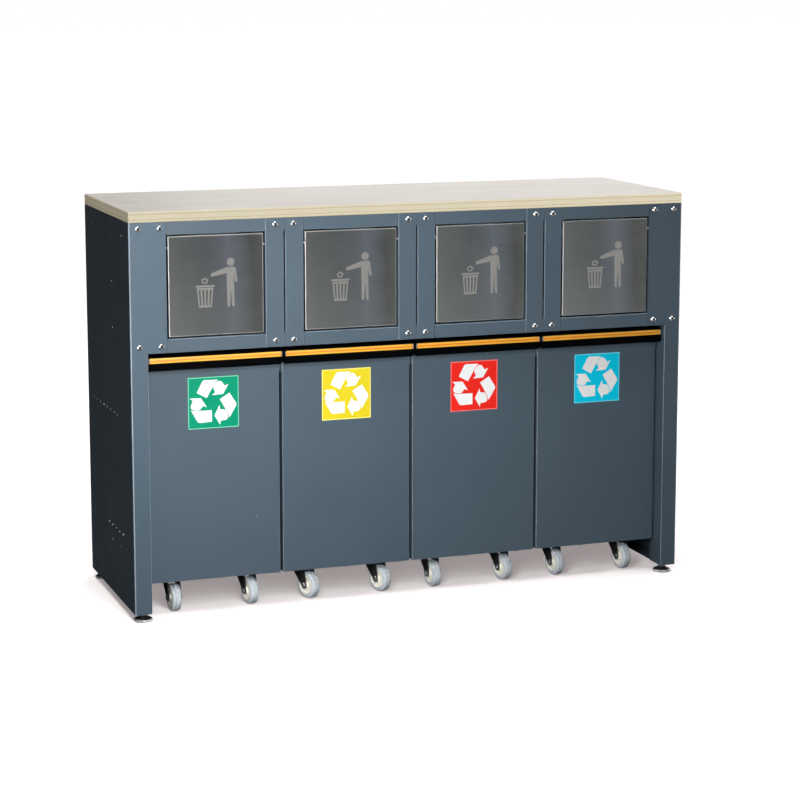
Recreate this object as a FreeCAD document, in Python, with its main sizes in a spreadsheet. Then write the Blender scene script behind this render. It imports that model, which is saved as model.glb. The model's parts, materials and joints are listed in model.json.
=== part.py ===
"""Recycling bin station: a steel cabinet with four self-closing flaps over four roll-out bins.

Frame: +Z up, the front faces -Y, and the origin is on the floor under the middle of the cabinet.
"""

import FreeCAD, Part
import math
import operator
import os

import Sketcher

os.makedirs("parts", exist_ok=True)
doc = FreeCAD.newDocument("RecyclingStation")

# ---------------------------------------------------------------- driving dimensions, in millimetres

DRIVING = {
    # cabinet
    "bay_count": 4,
    "bay_pitch": 320,
    "leg_width": 40,
    "leg_return": 60,
    "cabinet_depth": 458,
    "foot_height": 20,
    "side_height": 895,
    "worktop_thickness": 25,
    "steel": 2,
    "fold_radius": 1.8,
    "rear_return": 20,
    "rear_panel_base": 60,
    "edge_chamfer": 1,
    # upper front
    "front_height": 295,
    "opening_width": 230,
    "opening_height": 235,
    "lintel_height": 29,
    "seam_gap": 0.8,
    "relief": 1.5,
    "lip_depth": 38,
    "cheek_depth": 400,
    "rail_depth": 30,
    "rail_height": 25,
    # flaps
    "flap_gap": 4.5,
    "flap_end_gap": 4,
    "flap_recess": 2,
    "flap_depth": 15,
    "flap_steel": 1.5,
    "flap_radius": 2.5,
    "pivot_drop": 30,
    "pivot_inset": 6,
    "pin_radius": 2.5,
    "pin_reach": 8,
    "running_gap": 0.05,
    "stop_height": 18,
    "weight_length": 200,
    "weight_depth": 12,
    "weight_height": 15,
    # fasteners
    "bolt_edge": 14.5,
    "end_bolt": 21,
    "end_bolt_pitch": 50,
    "joint_bolt": 21.5,
    "bolt_radius": 4,
    "bolt_length": 14,
    "head_radius": 7,
    "head_height": 4.4,
    "nut_radius": 7.5,
    "nut_height": 6.5,
    "rivet_radius": 2.5,
    "rivet_height": 1,
    "rivet_pitch": 36,
    # levelling feet
    "foot_radius": 22,
    "foot_inset": 26,
    "foot_rim": 4,
    "foot_pad_height": 12,
    "foot_boss_radius": 10,
    "stud_radius": 5,
    "stud_length": 44,
    "lock_nut_radius": 9.5,
    "lock_nut_gap": 1,
    # bins
    "bin_width": 313,
    "bin_depth": 394,
    "bin_recess": 40,
    "bin_base": 80,
    "bin_floor": 90,
    "bin_top": 600,
    "bin_radius": 2,
    "handle_width": 313,
    "handle_base": 576,
    "handle_height": 36,
    "handle_reach": 28,
    "handle_wall": 3,
    "finger_wall": 2,
    "strip_base": 19,
    "strip_height": 12,
    "strip_seat": 2,
    "strip_proud": 1,
    "ear_height": 22,
    "ear_depth": 14,
    "ear_thickness": 2.2,
    "sticker_size": 120,
    "sticker_top": 553,
    "sticker_thickness": 0.3,
    # casters
    "wheel_radius": 32,
    "wheel_width": 22,
    "tyre_depth": 10,
    "axle_radius": 4,
    "caster_offset": 90,
    "caster_trail": 25,
    "front_swivel": 109,
    "rear_axle": 330,
    "axle_head_radius": 6.4,
    "axle_head_height": 3,
    "fork_steel": 3,
    "fork_gap": 2,
    "tyre_round": 2,
    "tyre_shoulder": 4,
    "tyre_groove": 2,
    "hub_wall": 4,
    "fork_eye": 9,
    "fork_root": 20,
    "fork_shoulder": 12,
    "crown_radius": 22,
    "crown_height": 8,
    "crown_gap": 0.5,
    "kingpin_radius": 5,
    "kingpin_head_radius": 8,
    "kingpin_head_height": 2.5,
    "kingpin_gap": 0.3,
    "plate_size": 64,
    "plate_thickness": 3,
}

# how far the left and right front caster of each bin stand turned, in degrees
CASTER_TURNS = ((3, 10), (22, 20), (5, 10), (8, 7))

sheet = doc.addObject("Spreadsheet::Sheet", "Dims")
for row, (alias, value) in enumerate(DRIVING.items(), start=1):
    sheet.set(f"A{row}", alias)
    sheet.set(f"B{row}", str(value))
    sheet.setAlias(f"B{row}", alias)
doc.recompute()


class Size:
    """A length: the expression that the document keeps, with its present value."""

    def __init__(self, text, value):
        self.text = text
        self.value = value

    def __add__(self, other):
        return combine(self, "+", other)

    def __radd__(self, other):
        return combine(other, "+", self)

    def __sub__(self, other):
        return combine(self, "-", other)

    def __rsub__(self, other):
        return combine(other, "-", self)

    def __mul__(self, other):
        return combine(self, "*", other)

    def __rmul__(self, other):
        return combine(other, "*", self)

    def __truediv__(self, other):
        return combine(self, "/", other)

    def __neg__(self):
        return combine(-1, "*", self)


OPERATIONS = {"+": operator.add, "-": operator.sub, "*": operator.mul, "/": operator.truediv}


def size(length):
    return length if isinstance(length, Size) else Size(f"({length})", float(length))


def combine(left, sign, right):
    left, right = size(left), size(right)
    return Size(f"({left.text} {sign} {right.text})", OPERATIONS[sign](left.value, right.value))


D = {alias: Size(f"Dims.{alias}", float(value)) for alias, value in DRIVING.items()}

# ---------------------------------------------------------------- places worked out from them

STEEL = D["steel"]
WIDTH = D["bay_count"] * D["bay_pitch"] + 2 * D["leg_width"]
LEFT = -WIDTH / 2
FRONT = -D["cabinet_depth"] / 2
REAR = D["cabinet_depth"] / 2
FLANGE_REAR = REAR - STEEL
CABINET_TOP = D["foot_height"] + D["side_height"]
FRONT_BASE = CABINET_TOP - D["front_height"]
OPENING_TOP = CABINET_TOP - D["lintel_height"]
OPENING_BASE = OPENING_TOP - D["opening_height"]
HALF_OPENING = D["opening_width"] / 2
UPPER_FLANGE = D["leg_width"] + D["bay_pitch"] / 2 - HALF_OPENING - D["seam_gap"] / 2
BOLT_HIGH = CABINET_TOP - D["bolt_edge"]
BOLT_LOW = FRONT_BASE + D["bolt_edge"]
REAR_BOLT_LOW = D["rear_panel_base"] + D["bolt_edge"]
RAIL_BACK = FRONT + STEEL + D["rail_depth"]
PIVOT_Y = FRONT + D["pivot_inset"]
PIVOT_Z = OPENING_TOP - D["pivot_drop"]
BIN_FRONT = FRONT + D["bin_recess"]
SWIVEL_Y = FRONT + D["front_swivel"]
REAR_AXLE_Y = FRONT + D["rear_axle"]
PLATE_BASE = D["bin_floor"] - D["plate_thickness"]

BAY_CENTRES = [D["bay_pitch"] * (n - (DRIVING["bay_count"] - 1) / 2) for n in range(DRIVING["bay_count"])]
END_BOLTS = [LEFT + D["end_bolt"], LEFT + D["end_bolt"] + D["end_bolt_pitch"]]
JOINT_BOLTS = [D["bay_pitch"] * joint + side * D["joint_bolt"] for joint in (-1, 0, 1) for side in (-1, 1)]
FRONT_BOLTS = END_BOLTS + JOINT_BOLTS + [-x for x in END_BOLTS]
REAR_BOLT_ROWS = (REAR_BOLT_LOW, BOLT_LOW, BOLT_HIGH)
REAR_BOLTS = [(side * END_BOLTS[0], z) for side in (1, -1) for z in REAR_BOLT_ROWS]

# ---------------------------------------------------------------- drawing helpers

PLANES = {"XY": "XY_Plane", "XZ": "XZ_Plane", "YZ": "YZ_Plane"}


def bind(thing, name, length):
    """Bind one property of an object to a length."""
    thing.setExpression(name, size(length).text)


def place(thing, x=0, y=0, z=0):
    for axis, length in zip("xyz", (x, y, z)):
        bind(thing, f"Placement.Base.{axis}", length)
    return thing


def new_body(name):
    return doc.addObject("PartDesign::Body", name)


def draw(body, plane, level=0):
    """A sketch on one of the body's origin planes, level along the world axis across that plane."""
    drawing = body.newObject("Sketcher::SketchObject", f"{body.Name}_sketch")
    support = next(f for f in body.Origin.OriginFeatures if f.Role == PLANES[plane])
    drawing.AttachmentSupport = (support, [""])
    drawing.MapMode = "FlatFace"
    bind(drawing, "AttachmentOffset.Base.z", -size(level) if plane == "XZ" else level)
    return drawing


def hold(drawing, geometry, point, u, v):
    """Hold a point of the sketch at u, v from the sketch's origin."""
    for kind, length in (("DistanceX", size(u)), ("DistanceY", size(v))):
        rule = Sketcher.Constraint(kind, -1, 1, geometry, point, length.value)
        drawing.setExpression(f"Constraints[{drawing.addConstraint(rule)}]", length.text)


def outline(drawing, points):
    """A closed outline through the points."""
    corners = [FreeCAD.Vector(size(u).value, size(v).value, 0) for u, v in points]
    first = drawing.GeometryCount
    for start, end in zip(corners, corners[1:] + corners[:1]):
        drawing.addGeometry(Part.LineSegment(start, end), False)
    last = len(points) - 1
    for i, (u, v) in enumerate(points):
        before = first + (i - 1 if i else last)
        drawing.addConstraint(Sketcher.Constraint("Coincident", before, 2, first + i, 1))
        hold(drawing, first + i, 1, u, v)


def rectangle(drawing, u_low, u_high, v_low, v_high):
    outline(drawing, [(u_low, v_low), (u_high, v_low), (u_high, v_high), (u_low, v_high)])


def circle(drawing, u, v, radius):
    radius = size(radius)
    centre = FreeCAD.Vector(size(u).value, size(v).value, 0)
    ring = drawing.addGeometry(Part.Circle(centre, FreeCAD.Vector(0, 0, 1), radius.value), False)
    hold(drawing, ring, 3, u, v)
    rule = drawing.addConstraint(Sketcher.Constraint("Radius", ring, radius.value))
    drawing.setExpression(f"Constraints[{rule}]", radius.text)


def pad(body, drawing, length):
    """Thicken a sketch towards +X, +Y or +Z."""
    feature = body.newObject("PartDesign::Pad", f"{body.Name}_pad")
    feature.Profile = drawing
    bind(feature, "Length", length)
    feature.Reversed = "XZ" in drawing.AttachmentSupport[0][0].Role
    return feature


def pocket(body, drawing, length, towards_plus=True):
    """Cut a sketch into the body towards +X, +Y or +Z, or the other way."""
    feature = body.newObject("PartDesign::Pocket", f"{body.Name}_pocket")
    feature.Profile = drawing
    bind(feature, "Length", length)
    across_y = "XZ" in drawing.AttachmentSupport[0][0].Role
    feature.Reversed = towards_plus != across_y
    cuts.append(feature)
    return feature


def revolve(body, drawing):
    """Turn a sketch once round its own horizontal axis."""
    feature = body.newObject("PartDesign::Revolution", f"{body.Name}_revolution")
    feature.Profile = drawing
    feature.ReferenceAxis = (drawing, ["H_Axis"])
    feature.Angle = 360
    return feature


def round_edges(body, base, radius, wanted, kind="PartDesign::Fillet"):
    """Round, or chamfer, the edges of the base feature whose middle the test wants."""
    doc.recompute()
    names = [
        f"Edge{i}" for i, edge in enumerate(base.Shape.Edges, start=1)
        if wanted(edge.BoundBox.Center, edge.BoundBox)
    ]
    feature = body.newObject(kind, f"{body.Name}_edges")
    feature.Base = (base, names)
    bind(feature, "Radius" if kind.endswith("Fillet") else "Size", radius)
    return feature


def block(name, x, y, z):
    """A box between three pairs of lengths."""
    box = doc.addObject("Part::Box", name)
    for side, (low, high) in zip(("Length", "Width", "Height"), (x, y, z)):
        bind(box, side, size(high) - low)
    return place(box, x[0], y[0], z[0])


def rod(name, radius, length, x=0, y=0, z=0, axis=FreeCAD.Vector(0, 0, 1)):
    """A round bar from a point along an axis."""
    bar = doc.addObject("Part::Cylinder", name)
    bind(bar, "Radius", radius)
    bind(bar, "Height", length)
    bar.Placement = FreeCAD.Placement(FreeCAD.Vector(), FreeCAD.Rotation(FreeCAD.Vector(0, 0, 1), axis))
    return place(bar, x, y, z)


def fuse(name, pieces):
    joined = doc.addObject("Part::MultiFuse", name)
    joined.Shapes = pieces
    return joined


def mirror(name, source):
    """The same piece reflected from side to side."""
    copy = doc.addObject("Part::Mirroring", name)
    copy.Source = source
    copy.Normal = FreeCAD.Vector(1, 0, 0)
    return copy


def group(name, pieces, x=0, y=0, z=0, turn=0):
    """The pieces together, moved as one, and turned by degrees about the upright."""
    together = doc.addObject("Part::Compound", name)
    together.Links = pieces
    together.Placement = FreeCAD.Placement(FreeCAD.Vector(), FreeCAD.Rotation(Z_AXIS, turn))
    return place(together, x, y, z)


X_AXIS = FreeCAD.Vector(1, 0, 0)
Z_AXIS = FreeCAD.Vector(0, 0, 1)
cuts = []
nodes = []


def add_node(name, thing):
    thing.Label = name
    nodes.append(thing)
    return thing


# ---------------------------------------------------------------- cabinet

def side_panel():
    """The left side: a folded sheet with a leg at the front, flanges all round and no hard edges."""
    body = new_body("side_panel")
    leg = LEFT + D["leg_width"]
    inner = LEFT + STEEL
    section = draw(body, "XY", D["foot_height"])
    outline(section, [
        (LEFT, FRONT), (leg, FRONT), (leg, FRONT + STEEL), (inner, FRONT + STEEL),
        (inner, FLANGE_REAR - STEEL), (leg - STEEL, FLANGE_REAR - STEEL),
        (leg - STEEL, FLANGE_REAR - D["rear_return"]), (leg, FLANGE_REAR - D["rear_return"]),
        (leg, FLANGE_REAR), (LEFT, FLANGE_REAR),
    ])
    pad(body, section, D["side_height"])
    leg_return = draw(body, "XY", D["foot_height"])
    rectangle(leg_return, leg - STEEL, leg, FRONT, FRONT + D["leg_return"])
    pad(body, leg_return, FRONT_BASE - D["foot_height"])
    for level in (D["foot_height"], CABINET_TOP - STEEL):
        flange = draw(body, "XY", level)
        rectangle(flange, LEFT, leg - STEEL, FRONT, FLANGE_REAR)
        pad(body, flange, STEEL)
    upper = draw(body, "XZ", FRONT)
    rectangle(upper, leg - STEEL, LEFT + UPPER_FLANGE, FRONT_BASE, CABINET_TOP)
    sheet_metal = pad(body, upper, STEEL)

    def is_front_fold(middle, box):
        at_fold = min(abs(middle.x - LEFT.value), abs(middle.x - leg.value)) < 0.01
        return at_fold and abs(middle.y - FRONT.value) < 0.01 and box.ZLength > DRIVING["front_height"]

    round_edges(body, sheet_metal, D["fold_radius"], is_front_fold)
    bolts = draw(body, "XZ", FRONT)
    for x in END_BOLTS:
        for z in (BOLT_LOW, BOLT_HIGH):
            circle(bolts, x, z, D["bolt_radius"])
    pocket(body, bolts, STEEL)
    rear_bolts = draw(body, "XZ", FLANGE_REAR - STEEL)
    for z in REAR_BOLT_ROWS:
        circle(rear_bolts, END_BOLTS[0], z, D["bolt_radius"])
    pocket(body, rear_bolts, STEEL)
    studs = draw(body, "XY", D["foot_height"])
    for y in (FRONT + D["foot_inset"], FLANGE_REAR - D["foot_inset"]):
        circle(studs, LEFT + D["foot_inset"] - STEEL, y, D["stud_radius"])
    pocket(body, studs, STEEL)
    return body


def worktop():
    body = new_body("worktop_board")
    board = draw(body, "XY", CABINET_TOP)
    rectangle(board, LEFT, -LEFT, FRONT, REAR)
    slab = pad(body, board, D["worktop_thickness"])
    round_edges(body, slab, D["edge_chamfer"], lambda middle, box: True, "PartDesign::Chamfer")
    return body


def rear_panel():
    body = new_body("rear_sheet")
    face = draw(body, "XZ", FLANGE_REAR)
    rectangle(face, LEFT, -LEFT, D["rear_panel_base"], CABINET_TOP)
    pad(body, face, STEEL)
    holes = draw(body, "XZ", FLANGE_REAR)
    for x, z in REAR_BOLTS:
        circle(holes, x, z, D["bolt_radius"])
    pocket(body, holes, STEEL)
    return body


def front_rail(name, base, bolt_row):
    """A channel across the cabinet behind the front, open to the back, with the bolt holes in it."""
    body = new_body(name)
    inner_front = FRONT + STEEL
    top = base + D["rail_height"]
    reach = LEFT + STEEL + D["seam_gap"]
    section = draw(body, "YZ", reach)
    outline(section, [
        (inner_front, base), (RAIL_BACK, base), (RAIL_BACK, base + STEEL),
        (inner_front + STEEL, base + STEEL), (inner_front + STEEL, top - STEEL),
        (RAIL_BACK, top - STEEL), (RAIL_BACK, top), (inner_front, top),
    ])
    pad(body, section, -2 * reach)
    holes = draw(body, "XZ", inner_front)
    for x in FRONT_BOLTS:
        circle(holes, x, bolt_row, D["bolt_radius"])
    pocket(body, holes, STEEL)
    return body


def bolt():
    """A button-head bolt whose head sits in front of the local origin, with its nut behind."""
    body = new_body("bolt")
    profile = draw(body, "XY")
    head, radius = D["head_height"], D["bolt_radius"]
    outline(profile, [
        (-head, 0), (-head, D["head_radius"] * 0.5), (-head * 0.8, D["head_radius"] * 0.78),
        (-head * 0.45, D["head_radius"] * 0.95), (0, D["head_radius"]), (0, radius),
        (D["bolt_length"], radius), (D["bolt_length"], 0),
    ])
    revolve(body, profile)
    return body


def nut():
    """The nut behind the two sheets that the bolt holds together."""
    ring = doc.addObject("Part::Prism", "nut_blank")
    ring.Polygon = 6
    bind(ring, "Circumradius", D["nut_radius"])
    bind(ring, "Height", D["nut_height"])
    hole = rod("nut_hole", D["bolt_radius"], D["nut_height"])
    threaded = doc.addObject("Part::Cut", "nut")
    threaded.Base = ring
    threaded.Tool = hole
    across = FreeCAD.Rotation(FreeCAD.Vector(0, 0, 1), X_AXIS)
    threaded.Placement = FreeCAD.Placement(FreeCAD.Vector(), across)
    bind(threaded, "Placement.Base.x", 2 * STEEL)
    return threaded


def rivet():
    """A flat dome that sits on the outside of the left side panel."""
    body = new_body("rivet")
    profile = draw(body, "XY")
    height, radius = D["rivet_height"], D["rivet_radius"]
    outline(profile, [
        (-height, 0), (-height, radius / 2), (-height * 0.4, radius * 0.9), (0, radius), (0, 0),
    ])
    revolve(body, profile)
    return body


def turned(thing, x, y, z, rotation):
    """A copy of a piece, turned and moved."""
    copy = group(f"{thing.Name}_copy", [thing])
    copy.Placement = FreeCAD.Placement(FreeCAD.Vector(), rotation)
    return place(copy, x, y, z)


def rivet_places():
    """Where the rivets stand on a side: two at the top, singles down the face and two rows."""
    pitch = D["rivet_pitch"]
    top = [(FRONT + 2 * pitch, CABINET_TOP - pitch), (REAR - 2 * pitch, CABINET_TOP - pitch)]
    singles = [(FRONT + 5 * pitch, FRONT_BASE + 4 * pitch), (FRONT + 5 * pitch, FRONT_BASE + pitch)]
    middle = CABINET_TOP / 2
    long_row = [(FRONT + (4 + i) * pitch, middle) for i in range(8)]
    low = CABINET_TOP / 5
    short_row = [(FRONT + (3 + i) * pitch, low) for i in range(5)]
    below = [(FRONT + 4 * pitch, low - pitch), (FRONT + 6 * pitch, low - pitch)]
    return top + singles + long_row + short_row + below


def fasteners():
    """Every bolt of the front and the back with its nut, and the rivets of both sides."""
    one_bolt, one_nut, one_rivet = bolt(), nut(), rivet()
    to_back = FreeCAD.Rotation(X_AXIS, FreeCAD.Vector(0, 1, 0))
    to_front = FreeCAD.Rotation(X_AXIS, FreeCAD.Vector(0, -1, 0))
    inwards_left = FreeCAD.Rotation()
    inwards_right = FreeCAD.Rotation(FreeCAD.Vector(0, 0, 1), 180)
    bolted = group("bolt_and_nut", [one_bolt, one_nut])
    pieces = [turned(bolted, x, FRONT, z, to_back) for x in FRONT_BOLTS for z in (BOLT_LOW, BOLT_HIGH)]
    pieces += [turned(bolted, x, REAR, z, to_front) for x, z in REAR_BOLTS]
    for y, z in rivet_places():
        pieces.append(turned(one_rivet, LEFT, y, z, inwards_left))
        pieces.append(turned(one_rivet, -LEFT, y, z, inwards_right))
    return group("fasteners", pieces)


def foot_places():
    x = LEFT + D["foot_inset"] - STEEL
    rows = (FRONT + D["foot_inset"], FLANGE_REAR - D["foot_inset"])
    return [(side * x, y) for side in (1, -1) for y in rows]


def feet():
    """The four pads, and the four studs with their lock nuts under the flange."""
    pad_body = new_body("foot_pad")
    profile = draw(pad_body, "YZ")
    radius, rim, boss, height = D["foot_radius"], D["foot_rim"], D["foot_boss_radius"], D["foot_pad_height"]
    outline(profile, [
        (0, 0), (0, radius - 1), (1, radius), (rim, radius), (rim + 2, radius - 2), (height - 2, boss),
        (height, boss), (height, 0),
    ])
    revolve(pad_body, profile)
    upright = FreeCAD.Rotation(FreeCAD.Vector(0, 1, 0), FreeCAD.Vector(0, 0, 1))
    stud = rod("foot_stud", D["stud_radius"], D["stud_length"], z=height)
    lock_nut = doc.addObject("Part::Prism", "lock_nut_blank")
    lock_nut.Polygon = 6
    nut_base = height + D["lock_nut_gap"]
    bind(lock_nut, "Circumradius", D["lock_nut_radius"])
    bind(lock_nut, "Height", D["foot_height"] - nut_base)
    place(lock_nut, 0, 0, nut_base)
    threaded = fuse("foot_stud_with_nut", [stud, lock_nut])
    pads = [turned(pad_body, x, y, 0, upright) for x, y in foot_places()]
    studs = [turned(threaded, x, y, 0, FreeCAD.Rotation()) for x, y in foot_places()]
    return group("pads", pads), group("studs", studs)


# ---------------------------------------------------------------- upper front of one bay

def cheek(name, with_strip):
    """The right-hand cheek of a bay, with the front strip folded from it or without."""
    body = new_body(name)
    lip_top, lip_base = OPENING_TOP + STEEL, OPENING_BASE - STEEL
    start = FRONT if with_strip else FRONT + STEEL
    rear = FRONT + D["cheek_depth"]
    behind_rail = RAIL_BACK + D["seam_gap"]
    side = draw(body, "YZ", HALF_OPENING)
    outline(side, [
        (start, lip_base), (behind_rail, lip_base), (behind_rail, FRONT_BASE), (rear, FRONT_BASE),
        (rear, CABINET_TOP), (behind_rail, CABINET_TOP), (behind_rail, lip_top), (start, lip_top),
    ])
    pad(body, side, STEEL)
    if with_strip:
        half_pitch = D["bay_pitch"] / 2
        edge = half_pitch - D["seam_gap"] / 4
        relieved = edge - D["relief"]
        strip = draw(body, "XZ", FRONT)
        outline(strip, [
            (HALF_OPENING, FRONT_BASE), (edge, FRONT_BASE), (edge, OPENING_BASE),
            (relieved, OPENING_BASE), (relieved, OPENING_TOP), (edge, OPENING_TOP),
            (edge, CABINET_TOP), (HALF_OPENING, CABINET_TOP),
        ])
        folded = pad(body, strip, STEEL)

        def is_fold(middle, box):
            at_fold = min(abs(middle.x - HALF_OPENING.value), abs(middle.x - relieved.value)) < 0.01
            return at_fold and abs(middle.y - FRONT.value) < 0.01

        round_edges(body, folded, D["fold_radius"], is_fold)
        bolts = draw(body, "XZ", FRONT)
        for z in (BOLT_LOW, BOLT_HIGH):
            circle(bolts, half_pitch - D["joint_bolt"], z, D["bolt_radius"])
        pocket(body, bolts, STEEL)
    pivot = draw(body, "YZ", HALF_OPENING)
    circle(pivot, PIVOT_Y, PIVOT_Z, D["pin_radius"] + D["running_gap"])
    pocket(body, pivot, STEEL)
    return body


def lip(name, opening_edge, far_edge, shelf):
    """The lintel or the sill: a front strip folded inwards along the opening into a shelf."""
    body = new_body(name)
    half = HALF_OPENING - D["seam_gap"]
    inner_front, shelf_end = FRONT + STEEL, FRONT + D["lip_depth"]
    section = draw(body, "YZ", -half)
    outline(section, [
        (FRONT, opening_edge), (shelf_end, opening_edge), (shelf_end, shelf), (inner_front, shelf),
        (inner_front, far_edge), (FRONT, far_edge),
    ])
    folded = pad(body, section, 2 * half)

    def is_fold(middle, box):
        return abs(middle.y - FRONT.value) < 0.01 and abs(middle.z - opening_edge.value) < 0.01

    round_edges(body, folded, D["fold_radius"], is_fold)
    return body


def bay_fronts():
    """The four aperture frames: two cheeks, a lintel with the flap's stop, and a sill."""
    strip_right = cheek("strip_cheek_right", True)
    end_right = cheek("end_cheek_right", False)
    strip_left = mirror("strip_cheek_left", strip_right)
    end_left = mirror("end_cheek_left", end_right)
    stop_y = FRONT + D["flap_recess"] + D["flap_depth"] + D["seam_gap"]
    stop = block("flap_stop", (-HALF_OPENING / 2, HALF_OPENING / 2), (stop_y, stop_y + STEEL),
                 (OPENING_TOP - D["stop_height"], OPENING_TOP + STEEL))
    lintel = fuse("lintel_with_stop", [lip("lintel", OPENING_TOP, CABINET_TOP, OPENING_TOP + STEEL), stop])
    sill = lip("sill", OPENING_BASE, FRONT_BASE, OPENING_BASE - STEEL)
    cheeks = [(end_left, strip_right)] + 2 * [(strip_left, strip_right)] + [(strip_left, end_right)]
    return [
        group("frame", [*pair, lintel, sill], x=centre) for pair, centre in zip(cheeks, BAY_CENTRES)
    ]


def flap():
    """A folded tray about its pivot line, with a stub pin at each side.

    The bar along its lower edge puts its weight behind the pins, so that it falls shut.
    """
    body = new_body("flap_tray")
    half = HALF_OPENING - D["flap_gap"]
    top = D["pivot_drop"] - D["flap_end_gap"]
    base = D["pivot_drop"] - D["opening_height"] + D["flap_end_gap"]
    face = D["flap_recess"] - D["pivot_inset"]
    skin = D["flap_steel"]
    front = draw(body, "XZ", face)
    rectangle(front, -half, half, base, top)
    tray = pad(body, front, D["flap_depth"])
    back = face + D["flap_depth"]

    def is_rolled(middle, box):
        on_face = box.YLength < 0.01 and abs(middle.y - face.value) < 0.01
        return on_face or box.YLength > 1

    round_edges(body, tray, D["flap_radius"], is_rolled)
    hollow = draw(body, "XZ", back)
    rectangle(hollow, skin - half, half - skin, base + skin, top - skin)
    pocket(body, hollow, D["flap_depth"] - skin, towards_plus=False)
    right_pin = rod("flap_pin_right", D["pin_radius"], D["pin_reach"], x=half, axis=X_AXIS)
    weight = block("closing_weight", (-D["weight_length"] / 2, D["weight_length"] / 2),
                   (back - D["weight_depth"] / 2, back + D["weight_depth"] / 2),
                   (base + skin, base + skin + D["weight_height"]))
    return [body, right_pin, mirror("flap_pin_left", right_pin), weight]


# ---------------------------------------------------------------- one bin

def bin_body():
    """A welded box open at the top, with a skirt below its floor and an ear under each handle end."""
    body = new_body("bin_shell")
    half = D["bin_width"] / 2
    rear = BIN_FRONT + D["bin_depth"]
    floor_top = D["bin_floor"] + STEEL
    plan = draw(body, "XY", D["bin_base"])
    rectangle(plan, -half, half, BIN_FRONT, rear)
    shell = pad(body, plan, D["bin_top"] - D["bin_base"])
    round_edges(body, shell, D["bin_radius"], lambda middle, box: box.ZLength > 1)
    inside = draw(body, "XY", D["bin_top"])
    rectangle(inside, STEEL - half, half - STEEL, BIN_FRONT + STEEL, rear - STEEL)
    pocket(body, inside, D["bin_top"] - floor_top, towards_plus=False)
    below = draw(body, "XY", D["bin_base"])
    rectangle(below, STEEL - half, half - STEEL, BIN_FRONT + STEEL, rear - STEEL)
    pocket(body, below, D["bin_floor"] - D["bin_base"])
    for level in (half - STEEL, -half - D["ear_thickness"]):
        ear = draw(body, "YZ", level)
        start = BIN_FRONT + D["bin_radius"]
        rectangle(ear, start, start + D["ear_depth"], D["handle_base"] - D["ear_height"], D["handle_base"])
        pad(body, ear, STEEL + D["ear_thickness"])
    return body


def handle():
    """The grip profile: it hooks over the bin's rim and is hollow below for the fingers."""
    body = new_body("handle_profile")
    reach, height, wall, seat = D["handle_reach"], D["handle_height"], D["handle_wall"], D["strip_seat"]
    strip_base, strip_top = D["strip_base"], D["strip_base"] + D["strip_height"]
    rim = D["bin_top"] - D["handle_base"]
    ceiling = rim - D["finger_wall"]
    section = draw(body, "YZ", -D["handle_width"] / 2)
    forward_and_up = [
        (0, 0), (wall, 0), (wall, ceiling), (reach - 3 * wall, ceiling), (reach - 3 * wall, wall),
        (reach - 2 * wall, 0), (reach, 2 * wall), (reach, strip_base), (reach - seat, strip_base),
        (reach - seat, strip_top), (reach, strip_top), (reach, height - wall), (reach - wall, height),
        (-2 * STEEL, height), (-2 * STEEL, rim), (0, rim),
    ]
    outline(section, [(BIN_FRONT - forward, D["handle_base"] + up) for forward, up in forward_and_up])
    pad(body, section, D["handle_width"])
    return body


def grip_strip():
    half = D["handle_width"] / 2
    back = BIN_FRONT - D["handle_reach"] + D["strip_seat"]
    front = back - D["strip_seat"] - D["strip_proud"]
    base = D["handle_base"] + D["strip_base"]
    return block("grip_strip", (-half, half), (front, back), (base, base + D["strip_height"]))


def sticker():
    half = D["sticker_size"] / 2
    return block("sticker", (-half, half), (BIN_FRONT - D["sticker_thickness"], BIN_FRONT),
                 (D["sticker_top"] - D["sticker_size"], D["sticker_top"]))


def axle_bolt(y):
    """The bolt across a fork at the wheel's height, with a head at each end."""
    half = D["wheel_width"] / 2 + D["fork_gap"] + D["fork_steel"]
    height, z = D["axle_head_height"], D["wheel_radius"]
    shank = rod("axle_shank", D["axle_radius"], 2 * half, -half, y, z, X_AXIS)
    heads = [
        rod("axle_head", D["axle_head_radius"], height, x, y, z, X_AXIS) for x in (half, -half - height)
    ]
    return fuse("axle_bolt", [shank] + heads)


def fork_arms(body, axle_y, root_low, root_high, top):
    """Two arms from the top of a fork down to the axle, each with the axle's hole."""
    inner = D["wheel_width"] / 2 + D["fork_gap"]
    axle_z, eye, shoulder = D["wheel_radius"], D["fork_eye"], top - D["fork_shoulder"]
    for level in (inner, -inner - D["fork_steel"]):
        arm = draw(body, "YZ", level)
        outline(arm, [
            (root_low, top), (root_low, shoulder), (axle_y - eye, axle_z + eye / 3),
            (axle_y - 2 * eye / 3, axle_z - eye), (axle_y + 2 * eye / 3, axle_z - eye),
            (axle_y + eye, axle_z - eye / 4), (root_high, shoulder), (root_high, top),
        ])
        pad(body, arm, D["fork_steel"])
        hole = draw(body, "YZ", level)
        circle(hole, axle_y, axle_z, D["axle_radius"])
        pocket(body, hole, D["fork_steel"])


def front_fork():
    """A swivel fork about the kingpin's line, its axle trailing towards the front, with its bolt."""
    body = new_body("front_fork")
    half = D["wheel_width"] / 2 + D["fork_gap"] + D["fork_steel"]
    yoke_base = PLATE_BASE - D["crown_height"]
    yoke_top = yoke_base + D["fork_steel"]
    trail, root = D["caster_trail"], D["fork_root"]
    yoke = draw(body, "XY", yoke_base)
    rectangle(yoke, -half, half, -trail, root)
    pad(body, yoke, D["fork_steel"])
    crown = draw(body, "XY", yoke_top)
    circle(crown, 0, 0, D["crown_radius"])
    pad(body, crown, PLATE_BASE - D["crown_gap"] - yoke_top)
    fork_arms(body, -trail, -trail, root, yoke_base + 1)
    bore = draw(body, "XY", yoke_base)
    circle(bore, 0, 0, D["kingpin_radius"] + D["running_gap"])
    pocket(body, bore, PLATE_BASE - yoke_base)
    return [body, axle_bolt(-D["caster_trail"])]


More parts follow.
